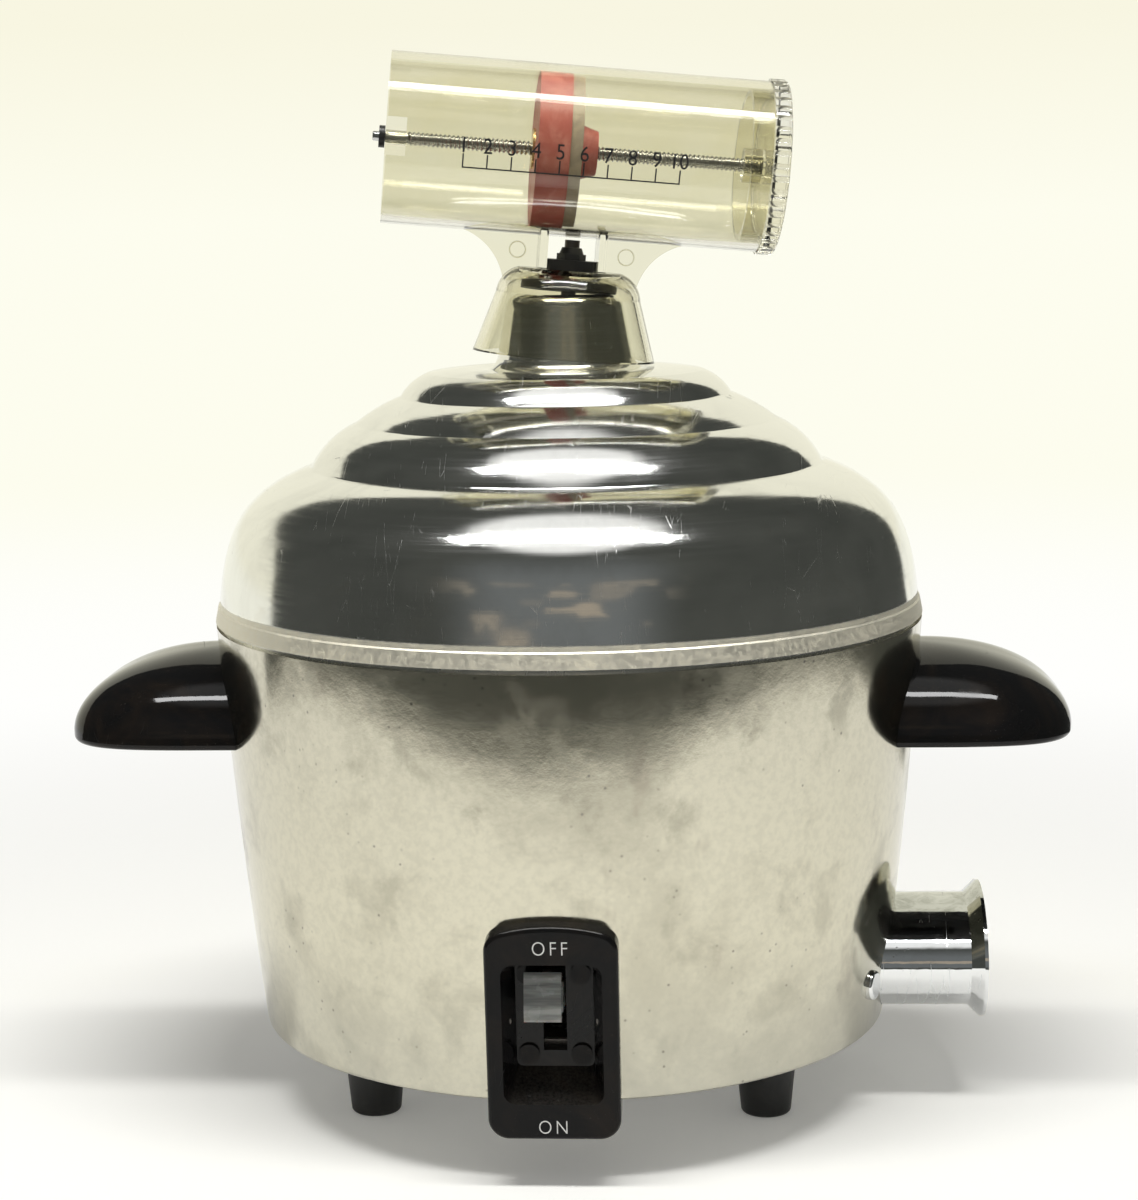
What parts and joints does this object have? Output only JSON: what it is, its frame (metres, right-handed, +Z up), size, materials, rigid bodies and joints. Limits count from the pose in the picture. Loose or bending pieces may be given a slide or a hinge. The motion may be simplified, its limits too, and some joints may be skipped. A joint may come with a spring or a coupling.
{
  "type": "electric egg cooker",
  "caption": "Aluminium electric egg cooker with black handles, a stepped lid, a clear piston water measure as its knob, a lever switch and a plug guard.",
  "frame": {"origin": "on the table, under the middle of the round body", "axes": "+Z up, the handles along X, the plug guard on +X, the switch on -Y"},
  "size_m": [0.254, 0.18, 0.2654],
  "materials": {
    "lid_aluminium": "polished, fine scratches",
    "body_aluminium": "worn polish",
    "pan_aluminium": "satin",
    "plated_steel": "zinc plated",
    "element_steel": "oxidised",
    "chrome": "bright chrome plate",
    "nickel": "nickel plate",
    "brass": "bare",
    "mica": "flat sheet",
    "ceramic": "unglazed ceramic",
    "black_phenolic": "moulded, glossy",
    "black_rubber": "dull",
    "black_nylon": "satin",
    "lever_plastic": "satin grey",
    "clear_plastic": "clear moulded plastic",
    "red_rubber": "satin",
    "brown_plastic": "satin",
    "wire_sleeve": "glass-fibre sleeve"
  },
  "bodies": {
    "base": {"body_shell": "body_aluminium", "water_pan": "pan_aluminium", "mica_sheet": "mica", "heating_element": "element_steel", "element_clamp_plate": "plated_steel", "centre_stud": "plated_steel", "stud_nuts": "plated_steel", "thermostat_base": "ceramic", "bimetal_blade": "brass", "thermostat_spacer": "ceramic", "contact_blade": "brass", "thermostat_rivet": "plated_steel", "bottom_plate": "plated_steel", "foot_front_left": "black_rubber", "foot_front_right": "black_rubber", "foot_rear": "black_rubber", "foot_screws": "plated_steel", "foot_nuts": "plated_steel", "handle_right": "black_phenolic", "handle_left": "black_phenolic", "handle_screws": "plated_steel", "switch_plate": "black_phenolic", "switch_base": "black_phenolic", "switch_rivets": "plated_steel", "switch_screws": "plated_steel", "lever_bracket": "plated_steel", "lever_pin": "plated_steel", "friction_washer": "black_nylon", "switch_contacts": "brass", "plug_guard": "chrome", "guard_rivets": "chrome", "terminal_block": "ceramic", "terminal_pins": "nickel", "terminal_nuts": "plated_steel", "block_screws": "plated_steel", "lead_line_thermostat": "wire_sleeve", "lead_line_element": "wire_sleeve", "lead_thermostat_switch": "wire_sleeve", "lead_switch_element": "wire_sleeve"},
    "lid": {"lid_shell": "lid_aluminium", "boss_gasket": "black_rubber", "bolt_washer": "plated_steel", "knob_bolt": "plated_steel", "knob_washer_plate": "black_nylon", "knob_nut": "black_nylon", "measure_body": "clear_plastic"},
    "adjuster": {"adjust_screw": "plated_steel", "retaining_clip": "black_nylon", "measure_cap": "clear_plastic"},
    "piston": {"piston_cup": "red_rubber", "piston_plate": "brown_plastic", "piston_nut": "brass"},
    "egg_rack": {"egg_tray": "pan_aluminium", "rack_legs": "pan_aluminium", "rack_post": "plated_steel", "rack_ring": "plated_steel"},
    "lever": {"switch_lever": "lever_plastic", "contact_bridge": "brass"}
  },
  "joints": [
    {"name": "rack_lift", "type": "slide", "parent": "base", "child": "egg_rack", "axis": [0, 0, 1], "range_m": [0, 0.12]},
    {"name": "lid_lift", "type": "slide", "parent": "egg_rack", "child": "lid", "axis": [0, 0, 1], "range_m": [0, 0.12]},
    {"name": "measure_adjust", "type": "hinge", "parent": "lid", "child": "adjuster", "pos_m": [0.00434, 0.00049, 0.23966], "axis": [0.9892, 0.1127, -0.0932], "range_deg": [-11848.3, 5466.5]},
    {"name": "piston_travel", "type": "slide", "parent": "lid", "child": "piston", "axis": [0.9892, 0.1127, -0.0932], "range_m": [-0.0168, 0.0363]},
    {"name": "switch_throw", "type": "hinge", "parent": "base", "child": "lever", "pos_m": [-0.00044, -0.063, 0.04282], "axis": [1, -0.007, 0], "range_deg": [0, 33]}
  ],
  "couplings": [
    {"joint": "piston_travel", "follows": "measure_adjust", "m_per_rad": -0.00017507}
  ]
}
